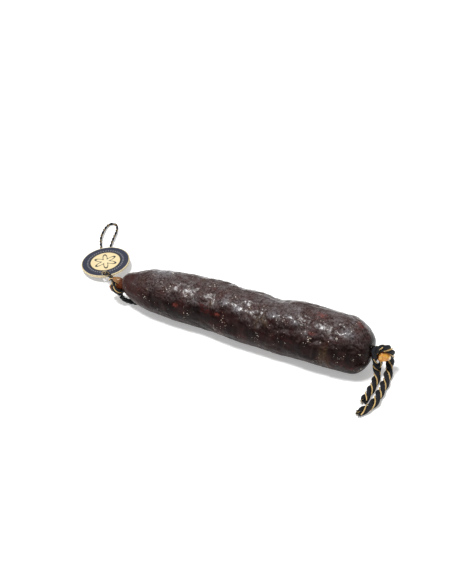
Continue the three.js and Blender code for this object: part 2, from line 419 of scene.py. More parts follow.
def printed_board():
    """Varnished print on pressed board: navy ink, a pale middle with a plain rosette, and a ring
    of small dots. The varnish is glossy over slightly uneven board, whose 0.1 mm fibres are drawn
    as 1.2 mm flecks."""
    material, tree, shader = new_material("varnished_printed_board")
    place = add_node(tree, "ShaderNodeTexCoord")
    parts = add_node(tree, "ShaderNodeSeparateXYZ", {0: place.outputs["Object"]})
    flat = add_node(tree, "ShaderNodeCombineXYZ", {0: parts.outputs[0], 1: parts.outputs[1]})
    reach = add_node(tree, "ShaderNodeVectorMath", {0: flat.outputs[0]}, operation="LENGTH")
    wobble = add_node(tree, "ShaderNodeTexNoise", {
        "Vector": place.outputs["Object"], "Scale": 1 / (9 * MM), "Detail": 2,
    })
    shift = add_node(tree, "ShaderNodeMapRange", {
        "Value": wobble.outputs["Fac"], "To Min": -0.012, "To Max": 0.012,
    })
    share = add_node(tree, "ShaderNodeMath", {0: reach.outputs["Value"], 1: TAG_RADIUS},
                     operation="DIVIDE")
    radius = add_node(tree, "ShaderNodeMath", {0: share.outputs[0], 1: shift.outputs[0]},
                      operation="ADD")
    rings = add_node(tree, "ShaderNodeValToRGB", {"Fac": radius.outputs[0]}, ramp=[
        (0.0, "F1E0B4"), (TAG_PALE_MIDDLE, "EDD9A8"), (TAG_PALE_MIDDLE + 0.012, "1C110D"),
        (TAG_PALE_MIDDLE + 0.06, "292C3A"), (TAG_NAVY_EDGE, "2B3045"), (TAG_NAVY_EDGE + 0.012, "E6D5A8"),
    ])
    turn = add_node(tree, "ShaderNodeMath", {0: parts.outputs[1], 1: parts.outputs[0]},
                    operation="ARCTAN2")
    dots = add_node(tree, "ShaderNodeMath", {0: turn.outputs[0], 1: TAG_DOTS}, operation="MULTIPLY")
    dot_wave = add_node(tree, "ShaderNodeMath", {0: dots.outputs[0]}, operation="COSINE")
    off_ring = add_node(tree, "ShaderNodeMath", {0: radius.outputs[0], 1: TAG_DOT_RING},
                        operation="SUBTRACT")
    ring_gap = add_node(tree, "ShaderNodeMath", {0: off_ring.outputs[0]}, operation="ABSOLUTE")
    on_ring = add_node(tree, "ShaderNodeMapRange", {
        "Value": ring_gap.outputs[0], "From Min": 0.02, "From Max": 0.04, "To Min": 1.0, "To Max": 0.0,
    })
    dot = add_node(tree, "ShaderNodeMapRange", {
        "Value": dot_wave.outputs[0], "From Min": -0.2, "From Max": 0.4,
    })
    dot_amount = add_node(tree, "ShaderNodeMath", {0: on_ring.outputs[0], 1: dot.outputs[0]},
                           operation="MULTIPLY")
    dotted = add_node(tree, "ShaderNodeMix", {
        0: dot_amount.outputs[0], 6: rings.outputs[0], 7: linear("85858C"),
    }, data_type="RGBA")
    petals = add_node(tree, "ShaderNodeMath", {0: turn.outputs[0], 1: TAG_PETALS}, operation="MULTIPLY")
    petal_wave = add_node(tree, "ShaderNodeMath", {0: petals.outputs[0]}, operation="COSINE")
    petal_edge = add_node(tree, "ShaderNodeMapRange", {
        "Value": petal_wave.outputs[0], "From Min": -1.0, "To Min": 0.17, "To Max": 0.46,
    })
    from_petal = add_node(tree, "ShaderNodeMath", {0: radius.outputs[0], 1: petal_edge.outputs[0]},
                          operation="SUBTRACT")
    petal_gap = add_node(tree, "ShaderNodeMath", {0: from_petal.outputs[0]}, operation="ABSOLUTE")
    drawn = add_node(tree, "ShaderNodeMapRange", {
        "Value": petal_gap.outputs[0], "From Min": 0.036, "From Max": 0.052, "To Min": 1.0, "To Max": 0.0,
    })
    printed = add_node(tree, "ShaderNodeMix", {
        0: drawn.outputs[0], 6: dotted.outputs[2], 7: linear("33302F"),
    }, data_type="RGBA")
    bare_board = add_node(tree, "ShaderNodeTexNoise", {
        "Vector": place.outputs["Object"], "Scale": 1 / (1.2 * MM), "Detail": 4,
    })
    board = add_node(tree, "ShaderNodeValToRGB", {"Fac": bare_board.outputs["Fac"]}, ramp=[
        (0.3, "BCA77C"), (0.7, "EFE2C0"),
    ])
    turned = add_node(tree, "ShaderNodeSeparateXYZ", {0: place.outputs["Normal"]})
    flatness = add_node(tree, "ShaderNodeMath", {0: turned.outputs[2]}, operation="ABSOLUTE")
    on_face = add_node(tree, "ShaderNodeMath", {0: flatness.outputs[0], 1: 0.8},
                       operation="GREATER_THAN")
    colour = add_node(tree, "ShaderNodeMix", {
        0: on_face.outputs[0], 6: board.outputs[0], 7: printed.outputs[2],
    }, data_type="RGBA")
    gloss = add_node(tree, "ShaderNodeMapRange", {
        "Value": on_face.outputs[0], "To Min": 0.75, "To Max": 0.38,
    })
    bump = add_node(tree, "ShaderNodeBump", {
        "Height": bare_board.outputs["Fac"], "Strength": 0.35, "Distance": 0.12 * MM,
    })
    tree.links.new(colour.outputs[2], shader.inputs["Base Color"])
    tree.links.new(gloss.outputs[0], shader.inputs["Roughness"])
    tree.links.new(bump.outputs[0], shader.inputs["Normal"])
    return material


def punched_disc(name, material):
    """The disc as one closed band that goes out over its face, round its edge and back below."""
    hole = TAG_HOLE_FROM_MIDDLE * np.array([cos(TAG_HOLE_TURN), sin(TAG_HOLE_TURN)])
    around = np.linspace(0, 2 * pi, 144, endpoint=False)
    facing = np.column_stack([np.cos(around), np.sin(around)])
    chance = np.random.default_rng(8)
    uneven = sum(chance.uniform(-0.1, 0.1) * MM * np.cos(waves * around + chance.uniform(0, 6))
                 for waves in (2, 3, 5, 7))
    half = TAG_THICKNESS / 2
    soft = 0.45 * MM
    heights = [(0.0, half - soft), (0.0, half - soft * 0.3), (0.02, half)]
    heights += [(share, half) for share in np.linspace(0.06, 0.96, 26)]
    heights += [(0.985, half), (1.0, half - soft * 0.5), (1.0, half - soft)]
    profile = heights + [(share, -height) for share, height in reversed(heights)]
    reach = (hole @ facing.T)
    to_edge = -reach + np.sqrt(reach**2 + (TAG_RADIUS + uneven)**2 - hole @ hole)
    rings = []
    for share, height in profile:
        span = TAG_HOLE_RADIUS + (to_edge - TAG_HOLE_RADIUS) * share
        flat = hole + facing * span[:, None]
        cupped = height + 0.35 * MM * (flat[:, 0] * flat[:, 1]) / TAG_RADIUS**2
        rings.append(np.column_stack([flat, cupped]))
    return ringed_piece(name, [(np.array(rings), 0)], [material], closed=True)


def tag():
    """The tag in its place, tilted on its string."""
    low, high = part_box("tag")
    card = punched_disc("printed_disc", printed_board())
    card.location = (Vector(low) + Vector(high)) / 2
    card.rotation_euler = (0, TAG_TILT, 0)
    settle(card, "tag_card", "tag")
    return card


TAG = tag()


# ---- the hanging loop ---------------------------------------------------------------------------
# Thin twisted cotton string with a gold thread, doubled: out of the upper knot, down through the
# tag's hole, under the tag, and round in a loop to hang the sausage by.

STRING_DIAMETER = 2.2 * MM
STRING_LAY_LENGTH = 9 * MM
STRING_GOLD_RADIUS = 0.16 * MM
LOOP_STRING = [
    (-125.6, 4.6, 18.0), (-129.6, 8.4, 17.2), (-134.6, 13.0, 14.6), (-139.6, 18.2, 11.2),
    (-142.2, 21.0, 7.4), (-143.6, 23.2, 4.0), (-146.4, 28.6, 1.9), (-152.0, 39.5, 1.4),
    (-158.8, 51.0, 1.9), (-165.0, 61.2, 3.0), (-169.6, 70.8, 3.6), (-172.0, 81.0, 3.2),
    (-172.9, 90.0, 2.2), (-171.0, 95.4, 1.6), (-166.2, 95.6, 1.6), (-162.6, 89.6, 2.4),
    (-160.2, 81.4, 3.3), (-158.4, 71.6, 3.3), (-155.6, 60.0, 2.5), (-150.6, 46.5, 1.6),
    (-146.6, 35.4, 1.5), (-143.6, 28.2, 2.4), (-141.8, 24.6, 4.4), (-140.9, 22.6, 7.6),
    (-138.0, 19.2, 11.8), (-132.6, 14.2, 14.2), (-128.0, 9.8, 16.4), (-124.2, 6.6, 17.0),
]


def hanging_loop():
    """The whole string, out of the knot and back to it, with the tag threaded on it."""
    line = laid_route(LOOP_STRING, 0.4 * MM)
    string = twisted_cord("loop_string", line, STRING_DIAMETER / 4, STRING_LAY_LENGTH,
                          gold_radius=STRING_GOLD_RADIUS, threads=(0.25,))
    settle(string, "cord", "tag_string")


hanging_loop()


# ---- the sausage --------------------------------------------------------------------------------
# Blood and fat in a natural casing, cured until the casing has dried on to the lumps inside. The
# skin is almost black, wrinkled and pebbled, and drawn into pleats where each end is tied.

# In millimetres, as are the points of the middle line below.
SLIM_RADIUS = 21.4
FULL_RADIUS = 23.5
SLIM_AT = -50
FULL_AT = 72
TAPER_TIP = -114.2
TAPER_LENGTH = 62
TAPER_POWER = 2.05
BLUNT_TIP = 109.6
BLUNT_LENGTH = 32
BLUNT_POWER = 2.8
NECK_RADIUS = 2.8
SKIN_ROWS = 404
SKIN_SIDES = 232
CENTRE_LINE = [
    (-121.4, -0.3, 12.3), (-118.9, 0.4, 14.9), (-116.0, 1.2, 17.6), (-113.4, 1.8, 19.0),
    (-107, 2.6, 19.4), (-96, 3.6, 19.3), (-80, 4.3, 19.5), (-55, 4.0, 20.3),
    (-25, 2.5, 20.8), (5, 0.5, 21.0), (35, -0.6, 21.5), (65, -1.2, 22.2),
    (88, -1.7, 22.2), (102, -2.3, 21.3), (110, -2.7, 20.6), (116.2, -2.8, 20.4),
]

# Hollows and swellings that the filling has left: X, degrees round from the far side over the
# top, half length and half width in mm, and height in mm.
SHAPED_SPOTS = [
    (24, 52, 10, 15, -2.2), (48, 50, 13, 14, 0.85), (57, 48, 20, 14, 0.6), (-28, 50, 12, 14, 0.8),
    (26, 84, 11, 9, -0.7), (105, 45, 9, 14, -2.0), (103, 222, 9, 14, 2.6),
    (-111.5, 75, 5, 8, 2.6), (-109, 140, 5, 7, 1.0), (-77, 80, 12, 9, 0.9), (-6, 92, 12, 8, 0.4),
    (84, 111, 3.0, 2.2, -1.7), (-62, 122, 7, 5, 0.8), (-87, 137, 6, 5, -0.6), (-50, 150, 8, 6, 0.5),
    (-15, 123, 5, 4, 1.0), (-2, 129, 5.5, 4.5, 1.1), (-36, 124, 6, 4, 0.7), (28, 121, 6, 4.5, 1.1),
    (40, 117, 5, 4, 0.9), (47, 126, 4.5, 4, 0.9), (91, 117, 7, 5, 1.0), (66, 122, 5, 4, 0.7),
    (6, 113, 4, 3.4, -1.0), (17, 122, 3, 8, -0.7), (-25, 116, 3, 6, -0.7), (34, 128, 2.5, 4, -0.7),
    (30, 150, 12, 4, -0.8), (70, 148, 10, 5, -0.7), (-10, 150, 9, 4, -0.6), (57, 126, 3, 5, -0.6),
    (-30, 62, 12, 8, 0.6), (96, 86, 8, 7, 0.6), (-42, 116, 4, 3.5, -0.8), (74, 100, 5, 4, -0.5),
    (0, 184, 14, 7, 0.7), (-32, 190, 9, 6, -0.7), (60, 196, 16, 7, 0.6), (40, 250, 16, 8, 0.5),
    (-20, 300, 14, 9, 0.6), (30, 20, 12, 9, 0.7), (75, 330, 12, 8, -0.6), (-70, 10, 12, 7, 0.6),
    (0, 340, 10, 8, -0.5), (-100, 110, 9, 8, -0.9), (-98, 190, 8, 7, -0.8),
]
# Ridges that run round the sausage where the casing has folded: X, degrees, half length in degrees.
ROUND_RIDGES = [
    (16, 140, 14), (19.5, 131, 10), (22.5, 138, 8), (73, 186, 30), (76, 172, 22), (79, 196, 18),
    (-26, 130, 9), (-42, 75, 12), (44, 30, 24), (-10, 10, 20), (60, 340, 16), (-60, 330, 20),
]
# Lean meat close under the skin: X, degrees, half length and half width in mm, and how red, 0 to 1.
LEAN_PATCHES = [
    (-57, 159, 4.5, 2.2, 0.8), (-33, 142, 6.0, 1.3, 1.0), (-27, 152, 9.0, 3.0, 0.55),
    (-19, 152, 3.2, 2.0, 1.0), (-27, 97, 6.0, 2.4, 0.5), (64, 91, 5.6, 4.0, 0.9),
    (63, 103, 2.2, 1.4, 0.9), (63, 137, 5.0, 2.6, 0.6), (96, 80, 6.5, 5.2, 1.0),
    (100, 194, 6.0, 2.4, 0.7), (94, 188, 5.0, 2.0, 0.5), (48, 10, 6, 3, 0.8), (-44, 22, 5, 2.4, 0.7),
    (12, 344, 7, 3, 0.6), (-72, 320, 5, 3, 0.7), (30, 226, 6, 3, 0.5), (-8, 60, 5, 2.5, 0.45),
    (82, 40, 4, 3, 0.7), (-90, 30, 4, 2.6, 0.6), (70, 250, 5, 3, 0.6),
]
# Crumbs of fat that show through: X, degrees, and how far the cluster spreads in mm.
FAT_CLUSTERS = [
    (-87, 137, 3), (-65, 128, 5), (-62, 113, 4), (-68, 80, 5), (-38, 80, 3), (-4, 162, 2.2),
    (6, 114, 4.2), (48, 117, 3.6), (59, 160, 2.6), (62, 149, 3.2), (83, 133, 3), (-8, 102, 3),
    (-48, 184, 2), (17, 106, 2.4), (-31, 86, 2.4), (30, 16, 4), (-52, 40, 4), (74, 350, 4), (-14, 330, 3.6),
    (52, 236, 3), (-80, 350, 3.4), (90, 60, 3), (-24, 240, 3), (0, 30, 3.4), (60, 64, 2.6),
]


def rounded_end(from_tip, length, power):
    """How full an end is: 0 at its tip, 1 from its full length onwards."""
    left = np.clip(1 - np.maximum(from_tip, 0) / length, 0, 1)
    return np.where(from_tip > 0, (1 - left**power) ** (1 / power), 0)


def filled_radius(x):
    """The radius of the filled casing, down to the neck at each end."""
    share = np.clip((x - SLIM_AT) / (FULL_AT - SLIM_AT), 0, 1)
    share = share * share * (3 - 2 * share)
    filled = SLIM_RADIUS + (FULL_RADIUS - SLIM_RADIUS) * share
    taper = rounded_end(x - TAPER_TIP, TAPER_LENGTH, TAPER_POWER)
    blunt = rounded_end(BLUNT_TIP - x, BLUNT_LENGTH, BLUNT_POWER)
    return np.maximum(NECK_RADIUS, filled * taper * blunt)


def lumps(points, size, seed):
    """Smooth noise from -1 to 1 whose bumps are about that size across, in millimetres."""
    shift = Vector((seed * 17.3, seed * 5.1, seed * 9.7))
    scale = 1 / size
    return np.array([noise.noise(Vector(p) * scale + shift) for p in points])


def skin_profile():
    """Rows of the skin: their middle, radius, and two directions across, evenly spaced on it."""
    line = laid_route(CENTRE_LINE, 0.1 * MM) / MM
    radius = filled_radius(line[:, 0])
    steps = np.hypot(np.linalg.norm(np.diff(line, axis=0), axis=1), np.diff(radius))
    travel = np.concatenate([[0], np.cumsum(steps)])
    wanted = np.linspace(0, travel[-1], SKIN_ROWS)
    middle = np.column_stack([np.interp(wanted, travel, line[:, k]) for k in range(3)])
    ahead = np.gradient(line, axis=0)
    ahead = np.column_stack([np.interp(wanted, travel, ahead[:, k]) for k in range(3)])
    ahead /= np.linalg.norm(ahead, axis=1)[:, None]
    across = np.cross((0, 0, 1), ahead)
    across /= np.linalg.norm(across, axis=1)[:, None]
    return middle, np.interp(wanted, travel, radius), across, np.cross(ahead, across)


def beside(x, degrees, radius, spot_x, spot_turn, long, wide):
    """How near a point of the skin is to a spot: 0 at its middle, 1 on its outline, and more outside."""
    around = (degrees - spot_turn + 180) % 360 - 180
    return ((x - spot_x) / long) ** 2 + (np.radians(around) * radius / wide) ** 2


def skin_relief(points, x, degrees, radius):
    """How far the skin stands out or in, in millimetres, at each point: broad lumps of the filling,
    small ones on the upper side, creases, placed swellings and ridges, and pleats at the necks."""
    full = np.clip((radius - 6) / 12, 0, 1)
    upper = np.clip(0.75 + 0.5 * np.sin(np.radians(degrees)), 0, 1)
    relief = 0.75 * lumps(points, 27, 1) + 0.6 * lumps(points, 12, 2) - 0.2
    relief += 0.5 * np.abs(lumps(points, 8.5, 8)) ** 0.8 * upper
    relief += 0.42 * lumps(points, 5.2, 3) * upper
    creases = np.abs(lumps(points, 8.0, 4))
    relief -= 0.45 * np.exp(-(creases / 0.1) ** 2) * np.clip(lumps(points, 18, 5) + 0.2, 0, 1)
    relief += 0.15 * lumps(points, 2.4, 6) * upper
    relief *= 0.2 + 0.8 * full
    for spot_x, spot_turn, long, wide, height in SHAPED_SPOTS:
        relief += height * np.exp(-beside(x, degrees, radius, spot_x, spot_turn, long, wide))
    for ridge_x, ridge_turn, half_turn in ROUND_RIDGES:
        around = (degrees - ridge_turn + 180) % 360 - 180
        bend = ridge_x + 1.2 * np.sin(np.radians(around) * 3)
        relief += 0.34 * np.exp(-((x - bend) / 0.9) ** 2 - (around / half_turn) ** 2)
    gathered = np.clip(1 - radius / 19, 0, 1)
    blunt = x > 0
    folds = np.where(blunt, 13, 10)
    twist = np.radians(degrees) * folds + 0.9 * lumps(points, 9, 7)
    pleats = np.where(blunt, 0.06, 0.045) * radius * gathered**1.2
    return relief + pleats * (np.abs(np.sin(twist / 2)) * 2 - 1.2)


def marked(points, x, degrees, radius):
    """How red the lean meat shows, how thick the fat crumbs lie, how waxy the tops of the lumps are,
    which also places the painted highlight, and how olive the folds are, at each point: 0 to 1."""
    lean = np.zeros(len(x))
    ragged = 0.55 * lumps(points, 3.0, 20) + 0.3 * lumps(points, 1.4, 21)
    for spot_x, spot_turn, long, wide, amount in LEAN_PATCHES:
        off = beside(x, degrees, radius, spot_x, spot_turn, long, wide)
        lean = np.maximum(lean, amount * np.clip(1.0 - off + 1.3 * ragged, 0, 1) ** 1.5)
    fat = np.zeros(len(x))
    for spot_x, spot_turn, spread in FAT_CLUSTERS:
        off = beside(x, degrees, radius, spot_x, spot_turn, spread, spread)
        fat = np.maximum(fat, np.exp(-off))
    # waxed: the grease film on swellings 0.9 mm high or more, and also where the painted highlight is
    # painted
    waxed = np.zeros(len(x))
    for spot_x, spot_turn, long, wide, height in SHAPED_SPOTS:
        if height >= 0.9:
            off = beside(x, degrees, radius, spot_x, spot_turn, long, wide)
            waxed = np.maximum(waxed, np.clip(1.1 * np.exp(-off * 1.3) + 0.3 * ragged, 0, 1))
    ridged = np.zeros(len(x))
    for ridge_x, ridge_turn, half_turn in ROUND_RIDGES:
        around = (degrees - ridge_turn + 180) % 360 - 180
        near = np.exp(-((x - ridge_x) / 1.8) ** 2 - (around / half_turn) ** 2)
        ridged = np.maximum(ridged, 0.7 * near)
    return lean, fat, waxed, ridged


def cured_skin():
    """The whole skin as one closed tube, flat where it rests, with its marks as attributes."""
    middle, radius, across, upward = skin_profile()
    angle = np.linspace(0, 2 * pi, SKIN_SIDES, endpoint=False)
    out = np.cos(angle)[None, :, None] * across[:, None, :]
    out = out + np.sin(angle)[None, :, None] * upward[:, None, :]
    plain = middle[:, None, :] + radius[:, None, None] * out
    shape = (SKIN_ROWS, SKIN_SIDES)
    x = np.broadcast_to(middle[:, 0][:, None], shape).ravel()
    turn = np.broadcast_to(np.degrees(angle)[None, :], shape).ravel()
    reach = np.broadcast_to(radius[:, None], shape).ravel()
    relief = skin_relief(plain.reshape(-1, 3), x, turn, reach).reshape(shape)
    skin = plain + relief[:, :, None] * out
    skin[:, :, 2] = np.maximum(skin[:, :, 2], 0)
    piece = ringed_piece("sausage_skin", [(skin * MM, 0)], [dried_casing_on_blood()])
    lean, fat, waxed, ridged = marked(plain.reshape(-1, 3), x, turn, reach)
    toward_tips = np.clip((-84 - x) / 26, 0, 1)
    empty = np.clip((6.5 - reach) / 3, 0, 1)
    marks = (("lean", lean), ("fat", fat), ("waxed", waxed), ("ridged", ridged),
             ("toward_tips", toward_tips), ("empty", empty))
    for name, amount in marks:
        piece.data.attributes.new(name, "FLOAT", "POINT").data.foreach_set("value", amount)
    return piece


def dried_casing_on_blood():
    """Natural hog casing dried on to cured blood: almost black, brown where light comes through,
    with red lean meat and crumbs of pale fat about 1 mm across close under it. A film of grease has
    settled on its upper side, thicker on the tops of the lumps, so those shine. Its upward-facing side
    is painted paler, a painted top light mixed with grey dust specks, and the grease patches and listed
    lumps there are painted bluish grey as a painted highlight. The bare casing is dull, so its own IOR
    is low. Its pebbles are about 3 mm and its grain about 1 mm."""
    material, tree, shader = new_material("dried_casing_on_blood")
    place = add_node(tree, "ShaderNodeTexCoord")
    spot = place.outputs["Object"]
    cloud = add_node(tree, "ShaderNodeTexNoise", {
        "Vector": spot, "Scale": 1 / (16 * MM), "Detail": 5, "Roughness": 0.6,
    })
    base = add_node(tree, "ShaderNodeValToRGB", {"Fac": cloud.outputs["Fac"]}, ramp=[
        (0.3, "0D0504"), (0.5, "180A09"), (0.72, "2B1613"),
    ])
    around = add_node(tree, "ShaderNodeMapping", {
        "Vector": spot, "Scale": (1 / (2.6 * MM), 1 / (17 * MM), 1 / (17 * MM)),
    })
    streaks = add_node(tree, "ShaderNodeTexNoise", {
        "Vector": around.outputs[0], "Scale": 1.0, "Detail": 3, "Roughness": 0.6,
    })
    streaked = add_node(tree, "ShaderNodeMapRange", {
        "Value": streaks.outputs["Fac"], "From Min": 0.5, "From Max": 0.75, "To Max": 0.3,
    })
    rubbed = add_node(tree, "ShaderNodeMix", {
        0: streaked.outputs[0], 6: base.outputs[0], 7: linear("453633"),
    }, data_type="RGBA")
    dust = add_node(tree, "ShaderNodeTexNoise", {
        "Vector": spot, "Scale": 1 / (1.5 * MM), "Detail": 4, "Roughness": 0.75,
    })
    speckle = add_node(tree, "ShaderNodeMapRange", {
        "Value": dust.outputs["Fac"], "From Min": 0.43, "From Max": 0.6, "To Min": 0.15, "To Max": 1.0,
    })
    turned = add_node(tree, "ShaderNodeSeparateXYZ", {0: place.outputs["Normal"]})
    upper = add_node(tree, "ShaderNodeMapRange", {
        "Value": turned.outputs[2], "From Min": 0.42, "From Max": 0.85, "To Max": 0.95,
    })
    # painted top light: the upward-facing side is painted paler taupe, mixed with the grey dust specks that
    # are the skin's own
    dust_and_top_light = add_node(tree, "ShaderNodeMath", {0: upper.outputs[0], 1: speckle.outputs[0]},
                      operation="MULTIPLY")
    with_dust_and_top_light = add_node(tree, "ShaderNodeMix", {
        0: dust_and_top_light.outputs[0], 6: rubbed.outputs[2], 7: linear("5F4F4C"),
    }, data_type="RGBA")
    waxy = add_node(tree, "ShaderNodeTexNoise", {
        "Vector": spot, "Scale": 1 / (8 * MM), "Detail": 3, "Roughness": 0.55,
    })
    wax_and_highlight_patches = add_node(tree, "ShaderNodeMapRange", {
        "Value": waxy.outputs["Fac"], "From Min": 0.46, "From Max": 0.66, "To Max": 0.55,
    })
    # the waxed mark is the grease film on the listed lumps, and also places the painted highlight
    waxed = add_node(tree, "ShaderNodeAttribute", attribute_name="waxed")
    thicker = add_node(tree, "ShaderNodeMath", {0: wax_and_highlight_patches.outputs[0], 1: waxed.outputs["Fac"]},
                       operation="MAXIMUM")
    # painted highlight: bluish grey painted over the grease patches on the upward-facing side
    painted_highlight = add_node(tree, "ShaderNodeMath", {0: thicker.outputs[0], 1: dust_and_top_light.outputs[0]},
                     operation="MULTIPLY")
    with_painted_highlight = add_node(tree, "ShaderNodeMix", {
        0: painted_highlight.outputs[0], 6: with_dust_and_top_light.outputs[2], 7: linear("7E7B80"),
    }, data_type="RGBA")
    film = add_node(tree, "ShaderNodeMapRange", {
        "Value": thicker.outputs[0], "From Max": 0.7, "To Min": 0.25, "To Max": 1.0,
    })
    greasy = add_node(tree, "ShaderNodeMath", {0: upper.outputs[0], 1: film.outputs[0]},
                      operation="MULTIPLY")
    tip = add_node(tree, "ShaderNodeAttribute", attribute_name="toward_tips")
    tipped = add_node(tree, "ShaderNodeMix", {
        0: tip.outputs["Fac"], 6: with_painted_highlight.outputs[2], 7: linear("3A2522"),
    }, data_type="RGBA")
    meat = add_node(tree, "ShaderNodeTexNoise", {
        "Vector": spot, "Scale": 1 / (12 * MM), "Detail": 4, "Roughness": 0.6, "Distortion": 0.6,
    })
    deep_meat = add_node(tree, "ShaderNodeMapRange", {
        "Value": meat.outputs["Fac"], "From Min": 0.5, "From Max": 0.72, "To Max": 0.45,
    })
    with_deep_meat = add_node(tree, "ShaderNodeMix", {
        0: deep_meat.outputs[0], 6: tipped.outputs[2], 7: linear("451C19"),
    }, data_type="RGBA")
    lean = add_node(tree, "ShaderNodeAttribute", attribute_name="lean")
    red = add_node(tree, "ShaderNodeValToRGB", {"Fac": meat.outputs["Fac"]}, ramp=[
        (0.35, "471718"), (0.5, "642420"), (0.65, "7A3A2C"),
    ])
    lean_grain = add_node(tree, "ShaderNodeMath", {0: lean.outputs["Fac"], 1: speckle.outputs[0]},
                          operation="MULTIPLY")
    with_lean = add_node(tree, "ShaderNodeMix", {
        0: lean_grain.outputs[0], 6: with_deep_meat.outputs[2], 7: red.outputs[0],
    }, data_type="RGBA")
    crumbs = add_node(tree, "ShaderNodeTexVoronoi", {"Vector": spot, "Scale": 1 / (1.1 * MM)})
    fat_here = add_node(tree, "ShaderNodeAttribute", attribute_name="fat")
    sprinkled = add_node(tree, "ShaderNodeTexNoise", {
        "Vector": spot, "Scale": 1 / (11 * MM), "Detail": 3, "Roughness": 0.6,
    })
    stray = add_node(tree, "ShaderNodeMapRange", {
        "Value": sprinkled.outputs["Fac"], "From Min": 0.3, "From Max": 0.7, "To Max": 0.85,
    })
    fat_amount = add_node(tree, "ShaderNodeMath", {0: fat_here.outputs["Fac"], 1: stray.outputs[0]},
                          operation="MAXIMUM")
    pick = add_node(tree, "ShaderNodeSeparateColor", {0: crumbs.outputs["Color"]})
    chosen = add_node(tree, "ShaderNodeMath", {0: pick.outputs[0], 1: fat_amount.outputs[0]},
                      operation="MULTIPLY")
    crumb_size = add_node(tree, "ShaderNodeMapRange", {
        "Value": chosen.outputs[0], "From Min": 0.22, "From Max": 0.75, "To Max": 0.5,
    })
    inside = add_node(tree, "ShaderNodeMath", {0: crumb_size.outputs[0], 1: crumbs.outputs["Distance"]},
                      operation="SUBTRACT")
    fat = add_node(tree, "ShaderNodeMapRange", {"Value": inside.outputs[0], "From Max": 0.1, "To Max": 0.9})
    pale = add_node(tree, "ShaderNodeValToRGB", {"Fac": pick.outputs[1]}, ramp=[
        (0.2, "7A6659"), (0.55, "B5A698"), (0.9, "E6DED0"),
    ])
    ridged = add_node(tree, "ShaderNodeAttribute", attribute_name="ridged")
    olive = add_node(tree, "ShaderNodeMath", {0: ridged.outputs["Fac"], 1: speckle.outputs[0]},
                     operation="MULTIPLY")
    with_folds = add_node(tree, "ShaderNodeMix", {
        0: olive.outputs[0], 6: with_lean.outputs[2], 7: linear("57472F"),
    }, data_type="RGBA")
    with_fat = add_node(tree, "ShaderNodeMix", {
        0: fat.outputs[0], 6: with_folds.outputs[2], 7: pale.outputs[0],
    }, data_type="RGBA")
    empty = add_node(tree, "ShaderNodeAttribute", attribute_name="empty")
    colour = add_node(tree, "ShaderNodeMix", {
        0: empty.outputs["Fac"], 6: with_fat.outputs[2], 7: linear("5E2E18"),
    }, data_type="RGBA")
    pebbles = add_node(tree, "ShaderNodeTexNoise", {
        "Vector": spot, "Scale": 1 / (3.2 * MM), "Detail": 3, "Roughness": 0.55,
    })
    grain = add_node(tree, "ShaderNodeTexNoise", {
        "Vector": spot, "Scale": 1 / (1.1 * MM), "Detail": 2, "Roughness": 0.6,
    })
    gloss = add_node(tree, "ShaderNodeMapRange", {
        "Value": pebbles.outputs["Fac"], "From Min": 0.3, "From Max": 0.7, "To Min": 0.22, "To Max": 0.42,
    })
    coarse = add_node(tree, "ShaderNodeBump", {
        "Height": pebbles.outputs["Fac"], "Strength": 1.0, "Distance": 0.2 * MM,
    })
    fine = add_node(tree, "ShaderNodeBump", {
        "Height": grain.outputs["Fac"], "Strength": 0.8, "Distance": 0.11 * MM, "Normal": coarse.outputs[0],
    })
    tree.links.new(colour.outputs[2], shader.inputs["Base Color"])
    tree.links.new(gloss.outputs[0], shader.inputs["Roughness"])
    tree.links.new(fine.outputs[0], shader.inputs["Normal"])
    tree.links.new(fine.outputs[0], shader.inputs["Coat Normal"])
    tree.links.new(greasy.outputs[0], shader.inputs["Coat Weight"])
    shader.inputs["Coat Roughness"].default_value = 0.25
    shader.inputs["IOR"].default_value = 1.18
    return material


SAUSAGE = cured_skin()
settle(SAUSAGE, "casing", "sausage")


# ---- the dried casing ends ----------------------------------------------------------------------
# Empty casing beyond each tie, dried to stiff amber parchment: a pleated bulb, pinched at its tip, at
# the blunt end, and a short stub and a folded flap at the tapered one. Each is one with the skin.


